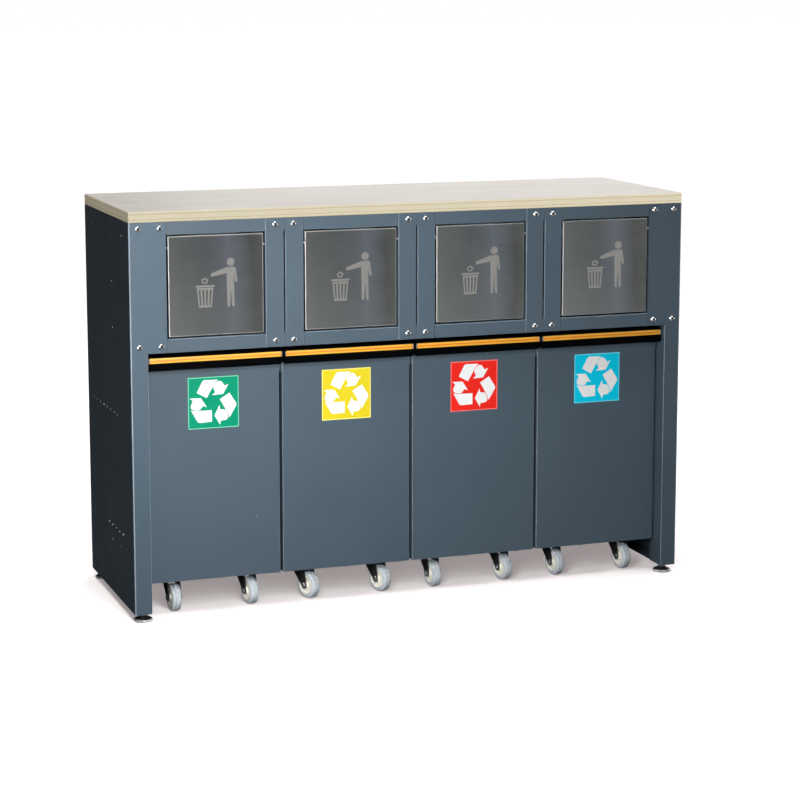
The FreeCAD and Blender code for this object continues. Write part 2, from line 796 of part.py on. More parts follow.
def front_plate(x):
    """A front caster's top plate with the kingpin and its retaining head."""
    half = D["plate_size"] / 2
    head_top = PLATE_BASE - D["crown_height"] - D["kingpin_gap"]
    pin_top = PLATE_BASE + D["plate_thickness"]
    depth = (SWIVEL_Y - half, SWIVEL_Y + half)
    plate = block("front_plate", (x - half, x + half), depth, (PLATE_BASE, pin_top))
    kingpin = rod("kingpin", D["kingpin_radius"], pin_top - head_top, x, SWIVEL_Y, head_top)
    head_height = D["kingpin_head_height"]
    head = rod("kingpin_head", D["kingpin_head_radius"], head_height, x, SWIVEL_Y, head_top - head_height)
    return fuse("front_plate_with_kingpin", [plate, kingpin, head])


def rear_fork():
    """A rigid rear fork about its axle's line, with its top plate."""
    body = new_body("rear_fork")
    half = D["plate_size"] / 2
    plate = draw(body, "XY", PLATE_BASE)
    rectangle(plate, -half, half, -half, half)
    pad(body, plate, D["plate_thickness"])
    fork_arms(body, 0, -D["fork_root"], D["fork_root"], PLATE_BASE)
    return [body, axle_bolt(0)]


def caster_mounts():
    """What carries the casters under one bin: two front plates and two rigid rear forks."""
    rear = rear_fork()
    sides = (-D["caster_offset"], D["caster_offset"])
    return [front_plate(x) for x in sides] + [group("rear_caster", rear, x, REAR_AXLE_Y) for x in sides]


def wheel():
    """A grooved tyre on a hub, about the axle."""
    half, outer = D["wheel_width"] / 2, D["wheel_radius"]
    inner = outer - D["tyre_depth"]
    tyre = new_body("tyre")
    section = draw(tyre, "XY")
    round_over, shoulder, groove = D["tyre_round"], D["tyre_shoulder"], D["tyre_groove"]
    right = [
        (half - round_over, inner), (half, inner + round_over), (half, outer - shoulder),
        (half - round_over, outer - round_over / 2), (half - shoulder, outer),
        (half - shoulder - groove, outer), (half - shoulder - 1.5 * groove, outer - groove / 2),
        (half - shoulder - 2 * groove, outer),
    ]
    outline(section, right + [(-x, r) for x, r in reversed(right)])
    revolve(tyre, section)
    hub = new_body("hub")
    section = draw(hub, "XY")
    bore = D["axle_radius"] + D["running_gap"]
    boss, wall = bore + D["hub_wall"], inner - D["hub_wall"] + 1
    right = [
        (half + 1, bore), (half + 1, boss), (half - shoulder, boss + round_over), (half - shoulder, wall),
        (half - round_over, inner),
    ]
    outline(section, right + [(-x, r) for x, r in reversed(right)])
    revolve(hub, section)
    return [tyre, hub]


# ---------------------------------------------------------------- the station

def build_cabinet():
    add_node("worktop", worktop())
    left = add_node("side_panel_left", side_panel())
    add_node("side_panel_right", mirror("side_panel_mirror", left))
    add_node("rear_panel", rear_panel())
    rails = [
        front_rail("lower_rail", OPENING_BASE - STEEL - D["rail_height"], BOLT_LOW),
        front_rail("upper_rail", CABINET_TOP - STEEL - D["rail_height"], BOLT_HIGH),
    ]
    add_node("front_rails", group("rails", rails))
    add_node("frame_fasteners", fasteners())
    pads, studs = feet()
    add_node("foot_pads", pads)
    add_node("foot_studs", studs)
    for n, frame in enumerate(bay_fronts(), start=1):
        add_node(f"aperture_frame_{n}", frame)


def build_flaps():
    pieces = flap()
    for n, centre in enumerate(BAY_CENTRES, start=1):
        add_node(f"flap_{n}", group("flap", pieces, centre, PIVOT_Y, PIVOT_Z))


def build_bins():
    parts = {"body": [bin_body()], "handle": [handle()], "grip_strip": [grip_strip()],
             "sticker": [sticker()], "caster_mounts": caster_mounts()}
    fork, one_wheel = front_fork(), wheel()
    trail, height, offset = D["caster_trail"], D["wheel_radius"], D["caster_offset"]
    for n, (centre, turns) in enumerate(zip(BAY_CENTRES, CASTER_TURNS), start=1):
        for name, pieces in parts.items():
            add_node(f"bin_{n}_{name}", group(f"bin_{name}", pieces, centre))
        for hand, x, turn in zip(("left", "right"), (centre - offset, centre + offset), turns):
            angle = math.radians(turn)
            front_x, front_y = x + trail * math.sin(angle), SWIVEL_Y - trail * math.cos(angle)
            rolling = group("front_wheel", one_wheel, front_x, front_y, height, turn)
            add_node(f"bin_{n}_fork_{hand}", group("swivel_fork", fork, x, SWIVEL_Y, turn=turn))
            add_node(f"bin_{n}_wheel_front_{hand}", rolling)
            add_node(f"bin_{n}_wheel_rear_{hand}", group("rear_wheel", one_wheel, x, REAR_AXLE_Y, height))


def check_document():
    """Every object has to be sound, and every cut has to have taken material away."""
    for thing in doc.Objects:
        if {"Invalid", "Error"} & set(thing.State):
            raise RuntimeError(f"{thing.Name} failed: {thing.State}")
    for cut in cuts:
        if cut.Shape.Volume >= cut.BaseFeature.Shape.Volume - 1e-6:
            raise RuntimeError(f"{cut.Name} cuts nothing")
    for node in nodes:
        if node.Shape.isNull() or not node.Shape.isValid():
            raise RuntimeError(f"{node.Label} has no valid shape")


build_cabinet()
build_flaps()
build_bins()
doc.recompute()
check_document()
for node in nodes:
    node.Shape.exportStep(f"parts/{node.Label}.step")
print(len(nodes), "nodes written")
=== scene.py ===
"""Recycling bin station: materials, detailed pieces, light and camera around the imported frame.

Metres, +Z up, the front faces -Y. Small lengths are written in millimetres and scaled by MM.
"""
import json
import math

import bmesh
import bpy
from mathutils import Euler, Matrix, Vector


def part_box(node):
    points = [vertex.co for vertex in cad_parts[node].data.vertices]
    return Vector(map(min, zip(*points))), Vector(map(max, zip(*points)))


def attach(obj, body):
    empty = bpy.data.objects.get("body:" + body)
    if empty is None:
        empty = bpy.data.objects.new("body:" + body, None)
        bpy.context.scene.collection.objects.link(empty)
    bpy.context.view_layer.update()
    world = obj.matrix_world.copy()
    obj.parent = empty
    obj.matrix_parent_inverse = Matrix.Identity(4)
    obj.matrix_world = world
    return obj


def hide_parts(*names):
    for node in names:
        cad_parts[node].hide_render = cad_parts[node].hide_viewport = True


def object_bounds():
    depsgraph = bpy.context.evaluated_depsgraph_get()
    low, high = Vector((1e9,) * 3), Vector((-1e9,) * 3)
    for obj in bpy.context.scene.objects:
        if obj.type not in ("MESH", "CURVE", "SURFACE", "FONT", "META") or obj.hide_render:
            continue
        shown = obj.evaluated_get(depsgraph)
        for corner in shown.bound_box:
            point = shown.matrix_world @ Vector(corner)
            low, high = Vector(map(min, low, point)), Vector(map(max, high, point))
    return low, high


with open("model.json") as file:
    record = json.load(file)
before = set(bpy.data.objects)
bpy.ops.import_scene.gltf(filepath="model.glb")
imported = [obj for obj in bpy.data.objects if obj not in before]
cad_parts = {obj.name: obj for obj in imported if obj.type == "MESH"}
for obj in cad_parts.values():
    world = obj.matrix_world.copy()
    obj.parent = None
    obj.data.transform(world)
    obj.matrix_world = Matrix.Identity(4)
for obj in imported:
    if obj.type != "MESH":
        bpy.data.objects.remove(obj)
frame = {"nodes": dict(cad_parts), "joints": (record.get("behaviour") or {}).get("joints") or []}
cad_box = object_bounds()
nodes = frame["nodes"]
pivots = {joint["name"]: Vector(joint["pos_m"]) for joint in frame["joints"] if "pos_m" in joint}
axes = {joint["name"]: Vector(joint["axis"]) for joint in frame["joints"]}
MM = 0.001
BINS = (1, 2, 3, 4)
BAY_PITCH = pivots["flap_2_swing"].x - pivots["flap_1_swing"].x

# ---------------------------------------------------------------- shader helpers


def material(name, color, roughness, **settings):
    """A Principled material whose constant settings sit on the shader's own sockets."""
    made = bpy.data.materials.new(name)
    made.use_nodes = True
    shader = made.node_tree.nodes["Principled BSDF"]
    shader.inputs["Base Color"].default_value = (*color, 1)
    shader.inputs["Roughness"].default_value = roughness
    for socket, value in settings.items():
        shader.inputs[socket.replace("_", " ")].default_value = value
    return made


def shader_of(made):
    return made.node_tree.nodes["Principled BSDF"]


def add(made, kind, inputs=(), **settings):
    """A node with its attributes set, and its inputs given as values or as sockets to link from."""
    node = made.node_tree.nodes.new("ShaderNode" + kind)
    for key, value in settings.items():
        setattr(node, key, value)
    for key, value in dict(inputs).items():
        if isinstance(value, bpy.types.NodeSocket):
            made.node_tree.links.new(value, node.inputs[key])
        else:
            node.inputs[key].default_value = value
    return node


def link(made, source, socket):
    made.node_tree.links.new(source, shader_of(made).inputs[socket])


def object_point(made, stretch=(1, 1, 1)):
    """The point in the object's own space, stretched along its axes."""
    place = add(made, "TexCoord").outputs["Object"]
    if stretch == (1, 1, 1):
        return place
    return add(made, "Mapping", {"Vector": place, "Scale": stretch}).outputs["Vector"]


def noise(made, point, scale, detail=3, rough=0.55):
    inputs = {"Vector": point, "Scale": scale, "Detail": detail, "Roughness": rough}
    return add(made, "TexNoise", inputs).outputs["Fac"]


def spread(made, value, low, high, start=0.3, end=0.7):
    """The value's range from start to end, carried to low to high."""
    return add(made, "MapRange", {
        "Value": value, "From Min": start, "From Max": end, "To Min": low, "To Max": high,
    }).outputs["Result"]


def ramp(made, value, *stops):
    """A colour ramp of (place, linear colour) stops."""
    node = add(made, "ValToRGB", {"Fac": value})
    band = node.color_ramp
    while len(band.elements) < len(stops):
        band.elements.new(0.5)
    for element, (place, color) in zip(band.elements, stops):
        element.position = place
        element.color = (*color, 1)
    return node.outputs["Color"]


def mix(made, fraction, low, high, blend="MIX"):
    node = add(made, "Mix", data_type="RGBA", blend_type=blend)
    for socket, value in ((node.inputs[0], fraction), (node.inputs[6], low), (node.inputs[7], high)):
        if isinstance(value, bpy.types.NodeSocket):
            made.node_tree.links.new(value, socket)
        else:
            socket.default_value = value if isinstance(value, float) else (*value, 1)
    return node.outputs[2]


def bump(made, *layers):
    """Stacked bumps, each a height, how strong it is and how deep in metres."""
    normal = None
    for height, strength, distance in layers:
        inputs = {"Height": height, "Strength": strength, "Distance": distance}
        if normal:
            inputs["Normal"] = normal
        normal = add(made, "Bump", inputs).outputs["Normal"]
    link(made, normal, "Normal")


def axis_of(made, point, axis):
    return add(made, "SeparateXYZ", {"Vector": point}).outputs[axis]


def math_node(made, operation, *values):
    node = add(made, "Math", operation=operation)
    for socket, value in zip(node.inputs, values):
        if isinstance(value, bpy.types.NodeSocket):
            made.node_tree.links.new(value, socket)
        else:
            socket.default_value = value
    return node.outputs[0]


def off_square(made, start=0.97, end=0.8):
    """One where the surface turns away from all three axes, as round a fold, and zero on the flats."""
    normal = add(made, "TexCoord").outputs["Normal"]
    widest = 0.0
    for axis in "XYZ":
        widest = math_node(made, "MAXIMUM", math_node(made, "ABSOLUTE", axis_of(made, normal, axis)), widest)
    return spread(made, widest, 0.0, 1.0, start, end)


# ---------------------------------------------------------------- materials


def powder_coat(name, front_corners=None):
    """Satin blue-grey powder coat: orange peel, faint mottling, rare soft scuffs, and paler on its folds,
    where a highlight is painted into the colour.

    front_corners (x, y) is where two upright front corners stand, at -x and x, with a highlight painted down
    them as a pale line.
    """
    made = material(name, (0.067, 0.1, 0.13), 0.46, Specular_IOR_Level=0.4)
    point = object_point(made)
    mottle = spread(made, noise(made, point, 5, 4), 0.0, 1.0)
    scuffed = noise(made, object_point(made, (9, 9, 60)), 3, 6, 0.7)
    color = ramp(made, mottle, (0, (0.064, 0.096, 0.125)), (1, (0.071, 0.105, 0.136)))
    color = mix(made, spread(made, scuffed, 0.0, 0.1, 0.72, 0.82), color, (0.2, 0.25, 0.29))
    specks = noise(made, point, 75, 1, 0.3)
    color = mix(made, spread(made, specks, 0.0, 0.22, 0.8, 0.84), color, (0.3, 0.34, 0.37))
    # Painted highlight on every fold: the coat turns paler where the surface turns off the flats, broken up
    # by noise.
    uneven = spread(made, noise(made, point, 30, 4, 0.7), 0.55, 1.0)
    fold_highlight = math_node(made, "MULTIPLY", off_square(made), uneven)
    color = mix(made, fold_highlight, color, (0.3, 0.37, 0.43))
    # Painted highlight: a pale line down each upright front corner, broken up by noise.
    if front_corners:
        corner_x, corner_y = front_corners
        beside = math_node(made, "SUBTRACT", corner_x, math_node(made, "ABSOLUTE", axis_of(made, point, "X")))
        behind = math_node(made, "SUBTRACT", axis_of(made, point, "Y"), corner_y)
        away = math_node(made, "MAXIMUM", beside, behind)
        corner_highlight = spread(made, away, 1.0, 0.0, 2.2 * MM, 3.2 * MM)
        highlight_breakup = spread(made, noise(made, object_point(made, (1, 1, 0.3)), 12, 4, 0.6), 0.45, 1.0)
        color = mix(made, math_node(made, "MULTIPLY", corner_highlight, highlight_breakup), color, (0.34, 0.4, 0.47))
    link(made, color, "Base Color")
    link(made, spread(made, noise(made, point, 14, 5), 0.42, 0.52), "Roughness")
    bump(made, (noise(made, point, 420, 2), 0.08, 0.0002), (noise(made, point, 2600, 1), 0.05, 0.0001))
    return made


def plywood():
    """Lacquered birch plywood: long pale figure on the faces, thin brown glue lines along the edges."""
    made = material("birch_plywood", (0.72, 0.65, 0.58), 0.5, Specular_IOR_Level=0.3)
    point = object_point(made)
    figure = noise(made, object_point(made, (0.7, 9, 1)), 6, 8, 0.62)
    streaks = noise(made, object_point(made, (1.2, 60, 1)), 9, 4, 0.6)
    top = ramp(made, figure, (0.3, (0.54, 0.49, 0.44)), (0.5, (0.61, 0.57, 0.53)),
               (0.72, (0.65, 0.615, 0.58)))
    top = mix(made, spread(made, streaks, 0.0, 0.25, 0.45, 0.75), top, (0.6, 0.5, 0.41), "MULTIPLY")
    flecks = noise(made, object_point(made, (12, 160, 1)), 7, 2, 0.4)
    top = mix(made, spread(made, flecks, 0.0, 0.2, 0.66, 0.74), top, (0.45, 0.35, 0.26))
    board_low, board_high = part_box("worktop")
    wobble = noise(made, object_point(made, (6, 6, 1)), 2, 2)
    height = math_node(made, "ADD", axis_of(made, point, "Z"), spread(made, wobble, -0.0006, 0.0006))
    ply = add(made, "MapRange", {"Value": height, "From Min": board_low.z, "From Max": board_high.z})
    pale, tan, brown = (0.82, 0.755, 0.57), (0.78, 0.67, 0.43), (0.56, 0.43, 0.24)
    plies = ramp(
        made, ply.outputs["Result"],
        (0.0, brown), (0.06, tan), (0.12, pale), (0.24, pale), (0.27, brown), (0.3, tan), (0.36, pale),
        (0.5, pale), (0.53, tan), (0.56, pale), (0.7, pale), (0.73, brown), (0.77, tan), (0.83, pale),
        (0.97, (0.85, 0.79, 0.64)),
    )
    knots = noise(made, object_point(made, (9, 9, 90)), 5, 3, 0.6)
    plies = mix(made, spread(made, knots, 0.0, 0.5, 0.6, 0.75), plies, (0.5, 0.36, 0.2))
    end_grain = noise(made, object_point(made, (60, 60, 500)), 4, 4, 0.7)
    edge = mix(made, spread(made, end_grain, 0.0, 0.25), plies, (0.66, 0.55, 0.38), "MULTIPLY")
    facing = axis_of(made, add(made, "TexCoord").outputs["Normal"], "Z")
    is_face = spread(made, math_node(made, "ABSOLUTE", facing), 0.0, 1.0, 0.8, 0.9)
    link(made, mix(made, is_face, edge, top), "Base Color")
    link(made, spread(made, streaks, 0.45, 0.6), "Roughness")
    bump(made, (streaks, 0.1, 0.0002), (end_grain, 0.05, 0.0002))
    return made


def brushed_steel():
    """Stainless sheet: fine level grain, upright bands of painted reflection, a painted highlight paler
    towards the lower left corner, and a pale matt rim that is a painted highlight.
    """
    made = material("brushed_stainless", (0.25, 0.268, 0.27), 0.34, Metallic=1.0)
    point = object_point(made)
    low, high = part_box("flap_1")
    across = math_node(made, "FRACT", math_node(made, "ADD", math_node(
        made, "DIVIDE", axis_of(made, point, "X"), BAY_PITCH), 2.0))
    sway = noise(made, object_point(made, (3, 3, 2.2)), 2, 2)
    across = math_node(made, "ADD", across, spread(made, sway, -0.03, 0.03))
    # Painted reflection: light and dark upright bands repeat across each flap, with a bluish light band about
    # 60% of the way across.
    bands = ramp(
        made, across,
        (0.15, (0.3, 0.315, 0.313)), (0.25, (0.25, 0.268, 0.27)), (0.42, (0.21, 0.231, 0.238)),
        (0.53, (0.24, 0.263, 0.292)), (0.6, (0.29, 0.326, 0.389)), (0.67, (0.25, 0.278, 0.313)),
        (0.76, (0.17, 0.184, 0.167)), (0.85, (0.21, 0.221, 0.205)),
    )
    # Painted highlight: paler towards the bottom and the left of each flap.
    drop = add(made, "MapRange", {"Value": axis_of(made, point, "Z"), "From Min": high.z, "From Max": low.z})
    leftward = spread(made, across, 0.9, 0.25, 0.15, 0.85)
    lower_left_highlight = math_node(made, "MULTIPLY", drop.outputs["Result"], leftward)
    bands = mix(made, spread(made, lower_left_highlight, 0.0, 0.55, 0.1, 0.9), bands, (0.5, 0.525, 0.513))
    cloud = noise(made, object_point(made, (4, 4, 6)), 3, 5, 0.65)
    bands = mix(made, spread(made, cloud, 0.0, 0.2, 0.4, 0.7), bands, (0.42, 0.441, 0.443))
    grain = noise(made, object_point(made, (8, 8, 900)), 3, 3, 0.6)
    bands = mix(made, spread(made, grain, 0.0, 0.12, 0.4, 0.6), bands, (0.5, 0.525, 0.529))
    # Painted highlight: the rounded rim gets a pale, mostly matt grey so it shows as a light line all round.
    rim = off_square(made, 0.985, 0.9)
    link(made, mix(made, rim, bands, (0.56, 0.545, 0.53)), "Base Color")
    link(made, math_node(made, "SUBTRACT", 1.0, math_node(made, "MULTIPLY", rim, 0.85)), "Metallic")
    link(made, spread(made, grain, 0.3, 0.42, 0.35, 0.65), "Roughness")
    bump(made, (grain, 0.08, 0.00005), (cloud, 0.05, 0.0005))
    return made


def plated(name, color, roughness, mottling=0.06):
    """Plated or polished steel with slight mottling and fine scratches."""
    made = material(name, color, roughness, Metallic=1.0)
    point = object_point(made)
    cloud = noise(made, point, 120, 4)
    dull = tuple(c * (1 - 3 * mottling) for c in color)
    link(made, ramp(made, cloud, (0.35, dull), (0.65, color)), "Base Color")
    link(made, spread(made, cloud, roughness + mottling, max(roughness - mottling, 0.03)), "Roughness")
    bump(made, (noise(made, point, 900, 2), 0.08, 0.00005))
    return made


def enamel(name, color, roughness, peel=0.08):
    """Paint or moulded plastic with a fine texture and a little dust in it."""
    made = material(name, color, roughness)
    point = object_point(made)
    dust = noise(made, point, 45, 6, 0.65)
    dusty = tuple(c + 0.02 for c in color)
    link(made, ramp(made, dust, (0.45, color), (0.8, dusty)), "Base Color")
    link(made, spread(made, dust, roughness - 0.05, roughness + 0.1), "Roughness")
    bump(made, (noise(made, point, 1500, 2), peel, 0.0001))
    return made


def drawn_black():
    """Matt black profile with its draw lines along the length."""
    made = material("black_profile", (0.0015, 0.0015, 0.002), 0.6, Specular_IOR_Level=0.03)
    lines = noise(made, object_point(made, (0.6, 260, 260)), 5, 3)
    link(made, ramp(made, lines, (0.35, (0.001, 0.001, 0.001)), (0.7, (0.002, 0.002, 0.003))), "Base Color")
    link(made, spread(made, lines, 0.52, 0.68), "Roughness")
    bump(made, (lines, 0.1, 0.0001))
    return made


def amber_strip():
    """Amber grip: yellow along its upper and lower ribs, with painted shade as deeper orange in the groove
    between them and at its top and bottom edges.
    """
    made = material("amber_strip", (0.9, 0.5, 0.06), 0.36)
    low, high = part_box("bin_1_grip_strip")
    rise = add(made, "MapRange", {
        "Value": axis_of(made, object_point(made), "Z"), "From Min": 0.0, "From Max": high.z - low.z,
    }).outputs["Result"]
    wander = noise(made, object_point(made, (9, 1, 60)), 2, 3)
    rise = math_node(made, "ADD", rise, spread(made, wander, -0.03, 0.03))
    # Painted shade: the groove between the ribs and the rounded top and bottom edges are coloured deeper
    # orange.
    color = ramp(
        made, rise,
        (0.0, (0.62, 0.3, 0.02)), (0.12, (0.94, 0.47, 0.045)), (0.32, (0.92, 0.43, 0.035)),
        (0.42, (0.74, 0.22, 0.018)), (0.56, (0.74, 0.22, 0.018)), (0.66, (0.91, 0.42, 0.035)),
        (0.84, (0.95, 0.5, 0.06)), (1.0, (0.7, 0.36, 0.03)),
    )
    link(made, color, "Base Color")
    link(made, spread(made, wander, 0.32, 0.42), "Roughness")
    bump(made, (noise(made, object_point(made, (2, 200, 200)), 4, 2), 0.06, 0.0001))
    return made


def levelling_foot():
    """A black moulded foot on a pressed plated base, whose pale, mostly matt colour is a painted reflection
    of the pale floor.
    """
    made = material("levelling_foot", (0.02, 0.02, 0.022), 0.35)
    low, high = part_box("foot_pads")
    point = object_point(made)
    rise = add(made, "MapRange", {"Value": axis_of(made, point, "Z"), "From Min": low.z, "From Max": high.z})
    cloud = noise(made, point, 120, 4)
    # Painted reflection: the plated base is given a pale, mostly matt colour that stands for the pale floor
    # it reflects.
    bright = ramp(made, cloud, (0.35, (0.7, 0.7, 0.68)), (0.65, (0.88, 0.88, 0.86)))
    is_base = spread(made, rise.outputs["Result"], 1.0, 0.0, 0.42, 0.48)
    link(made, mix(made, is_base, (0.02, 0.02, 0.022), bright), "Base Color")
    link(made, math_node(made, "MULTIPLY", is_base, 0.35), "Metallic")
    link(made, spread(made, cloud, 0.25, 0.4), "Roughness")
    bump(made, (noise(made, point, 900, 2), 0.08, 0.00005))
    return made


def vinyl(name, color):
    """Printed vinyl: solid ink with a trace of unevenness under a soft gloss."""
    made = material(name, color, 0.4, Specular_IOR_Level=0.12)
    point = object_point(made)
    ink = noise(made, point, 60, 5, 0.6)
    lighter = tuple(min(1, c * 1.05 + 0.003) for c in color)
    link(made, ramp(made, ink, (0.4, color), (0.75, lighter)), "Base Color")
    link(made, spread(made, noise(made, point, 30, 4), 0.34, 0.48), "Roughness")
    bump(made, (noise(made, point, 35, 2), 0.05, 0.0004))
    return made


def rubber():
    """Grey non-marking tyre, dustier and lighter where it has rolled."""
    made = material("grey_tyre", (0.52, 0.57, 0.61), 0.62)
    point = object_point(made)
    worn = noise(made, point, 160, 5, 0.65)
    color = ramp(made, worn, (0.3, (0.42, 0.47, 0.51)), (0.55, (0.54, 0.59, 0.63)),
                 (0.75, (0.66, 0.69, 0.71)))
    link(made, color, "Base Color")
    link(made, spread(made, worn, 0.52, 0.75), "Roughness")
    bump(made, (worn, 0.15, 0.0003), (noise(made, point, 1800, 2), 0.1, 0.0001))
    return made


PAINT, PLY, STAINLESS = powder_coat("powder_coat"), plywood(), brushed_steel()
panel_low, panel_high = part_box("side_panel_right")
# The side panels' coat also carries a painted highlight down their front corners.
PANEL_PAINT = powder_coat("powder_coat_panels", (panel_high.x, panel_low.y))
ZINC = plated("zinc_plate", (0.6, 0.61, 0.63), 0.3)
FOOT = levelling_foot()
BRIGHT_ZINC = plated("bright_zinc", (0.97, 0.97, 0.98), 0.26, 0.03)
BLACK_PROFILE, AMBER = drawn_black(), amber_strip()
BLACK_STEEL = enamel("black_steel", (0.014, 0.014, 0.015), 0.36)
HUB = enamel("cream_hub", (0.9, 0.88, 0.76), 0.42, 0.05)
TYRE = rubber()
WHITE = vinyl("white_print", (0.9, 0.9, 0.9))
ETCH = plated("etched_steel", (0.66, 0.65, 0.62), 0.6, 0.03)
SILVER = plated("silver_tip", (0.85, 0.85, 0.85), 0.3)
INKS = {
    1: vinyl("green_print", (0.0, 0.27, 0.145)),
    2: vinyl("yellow_print", (0.74, 0.6, 0.018)),
    3: vinyl("red_print", (0.86, 0.022, 0.013)),
    4: vinyl("cyan_print", (0.0, 0.62, 0.86)),
}
PALE_INKS = {
    n: vinyl(f"pale_border_{n}", color) for n, color in
    {1: (0.25, 0.72, 0.5), 2: (0.96, 0.9, 0.4), 3: (0.95, 0.3, 0.28), 4: (0.3, 0.72, 0.88)}.items()
}

# ---------------------------------------------------------------- mesh helpers


def finish_mesh(mesh, angle=35):
    """Smooth shading that stops at edges sharper than the angle."""
    mesh.polygons.foreach_set("use_smooth", [True] * len(mesh.polygons))
    mesh.set_sharp_from_angle(angle=math.radians(angle))
    return mesh


def lathe(name, profile, steps=64, radius_of=None):
    """A closed profile of (along, radius) in millimetres, turned round the X axis.

    radius_of(i, angle, radius) may shape the ring of profile point i, as for a hexagon.
    """
    made = bmesh.new()
    rings = []
    for i, (along, radius) in enumerate(profile):
        ring = []
        for k in range(steps):
            angle = math.tau * k / steps
            reach = radius_of(i, angle, radius) if radius_of else radius
            point = Vector((along, reach * math.cos(angle), reach * math.sin(angle)))
            ring.append(made.verts.new(point * MM))
        rings.append(ring)
    for ring, after in zip(rings, rings[1:] + rings[:1]):
        for k in range(steps):
            j = (k + 1) % steps
            made.faces.new((ring[k], ring[j], after[j], after[k]))
    bmesh.ops.remove_doubles(made, verts=made.verts, dist=1e-6)
    bmesh.ops.dissolve_degenerate(made, edges=made.edges, dist=1e-7)
    bmesh.ops.recalc_face_normals(made, faces=made.faces)
    mesh = bpy.data.meshes.new(name)
    made.to_mesh(mesh)
    made.free()
    return mesh


def hexagonal(rings):
    """For lathe: rings in the set become hexagons whose radius is to a corner."""
    def reach(i, angle, radius):
        if i not in rings:
            return radius
        side = math.radians(60)
        return radius * math.cos(side / 2) / math.cos(angle % side - side / 2)
    return reach


def arc(cu, cv, radius, start, end, count=8):
    """Points round a centre, from one angle in degrees to another."""
    angles = [math.radians(start + (end - start) * i / count) for i in range(count + 1)]
    return [(cu + radius * math.cos(angle), cv + radius * math.sin(angle)) for angle in angles]


def ring_of(u, v, radius, count=32):
    return arc(u, v, radius, 0, 360 * (count - 1) / count, count - 1)


def rounded(u_low, u_high, v_low, v_high, radius, count=5):
    return (arc(u_high - radius, v_high - radius, radius, 0, 90, count)
            + arc(u_low + radius, v_high - radius, radius, 90, 180, count)
            + arc(u_low + radius, v_low + radius, radius, 180, 270, count)
            + arc(u_high - radius, v_low + radius, radius, 270, 360, count))


def sheet_mesh(name, outlines, thickness, edge=0.0):
    """A flat plate in local XY, from 0 to its thickness up Z, in millimetres.

    Outlines inside others are holes, and edge rounds its rims.
    """
    curve = bpy.data.curves.new(name, "CURVE")
    curve.dimensions = "2D"
    curve.fill_mode = "BOTH"
    curve.extrude = (thickness / 2 - edge) * MM
    curve.bevel_depth = edge * MM
    curve.offset = -edge * MM
    curve.bevel_resolution = 1
    for points in outlines:
        spline = curve.splines.new("POLY")
        spline.points.add(len(points) - 1)
        for point, (u, v) in zip(spline.points, points):
            point.co = (u * MM, v * MM, 0, 1)
        spline.use_cyclic_u = True
    holder = bpy.data.objects.new(name, curve)
    mesh = bpy.data.meshes.new_from_object(holder)
    bpy.data.objects.remove(holder)
    bpy.data.curves.remove(curve)
    mesh.transform(Matrix.Translation((0, 0, thickness / 2 * MM)))
    return mesh


def joined(name, parts, materials):
    """One mesh of (mesh, matrix, material number) parts."""
    made = bmesh.new()
    for mesh, matrix, number in parts:
        part = bmesh.new()
        part.from_mesh(mesh)
        part.transform(matrix)
        bmesh.ops.remove_doubles(part, verts=part.verts, dist=1e-6)
        bmesh.ops.recalc_face_normals(part, faces=part.faces)
        for face in part.faces:
            face.material_index = number
        copy = bpy.data.meshes.new("part")
        part.to_mesh(copy)
        part.free()
        made.from_mesh(copy)
        bpy.data.meshes.remove(copy)
    whole = bpy.data.meshes.new(name)
    made.to_mesh(whole)
    made.free()
    for one in materials:
        whole.materials.append(one)
    return finish_mesh(whole)


def piece(name, mesh, body, place=(0, 0, 0), replaces=(), turn=0.0):
    """Put a mesh in the scene, turned about the upright and riding on a body."""
    made = bpy.data.objects.new(name, mesh)
    bpy.context.scene.collection.objects.link(made)
    made.location = place
    made.rotation_euler.z = turn
    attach(made, body)
    if replaces:
        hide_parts(*replaces)
    return made


def at(x=0.0, y=0.0, z=0.0, turn=(0, 0, 0)):
    """A place in millimetres, with a turn in degrees."""
    return Matrix.LocRotScale(Vector((x, y, z)) * MM, Euler([math.radians(a) for a in turn]), None)


FACING_FRONT = (90, 0, 0)      # local X stays, local Y is up, the plate's thickness grows to the front
UPRIGHT = (90, 0, 90)          # local X runs to +Y, local Y is up, the thickness grows to +X
STANDING = (0, -90, 0)         # for a lathed piece: its length runs up Z


def middle(node):
    low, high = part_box(node)
    return (low + high) / 2


def solids(node):
    """The lowest and highest corner of each separate solid in a CAD node."""
    shape = bmesh.new()
    shape.from_mesh(nodes[node].data)
    bmesh.ops.remove_doubles(shape, verts=shape.verts, dist=1e-6)
    waiting = set(shape.verts)
    boxes = []
    while waiting:
        reached = [waiting.pop()]
        for vert in reached:
            near = {edge.other_vert(vert) for edge in vert.link_edges} & waiting
            waiting -= near
            reached += near
        columns = list(zip(*(vert.co for vert in reached)))
        boxes.append((Vector(map(min, columns)), Vector(map(max, columns))))
    shape.free()
    return sorted(boxes, key=lambda corners: tuple(corners[0]))


# ---------------------------------------------------------------- fasteners


HEAD_HEIGHT = 4.4


def button_bolt():
    """A button head standing out along -X from the local origin, and a black lining in its hex socket that is
    painted shade.
    """
    profile = [(0, 7.0), (-0.5, 7.0), (-1.6, 6.75), (-2.8, 6.0), (-3.7, 5.0), (-4.25, 4.0),
               (-HEAD_HEIGHT, 3.5), (-4.2, 3.2), (0, 3.2)]
    # Painted shade: the socket's lining is drawn in black steel.
    socket = [(-4.15, 3.16), (-1.8, 3.1), (-1.5, 0.0), (-0.5, 0.0), (-0.5, 3.16)]
    dome = lathe("button_bolt", profile, 48, hexagonal({7, 8}))
    return dome, lathe("bolt_socket_painted_shade", socket, 48, hexagonal({0, 1, 4}))


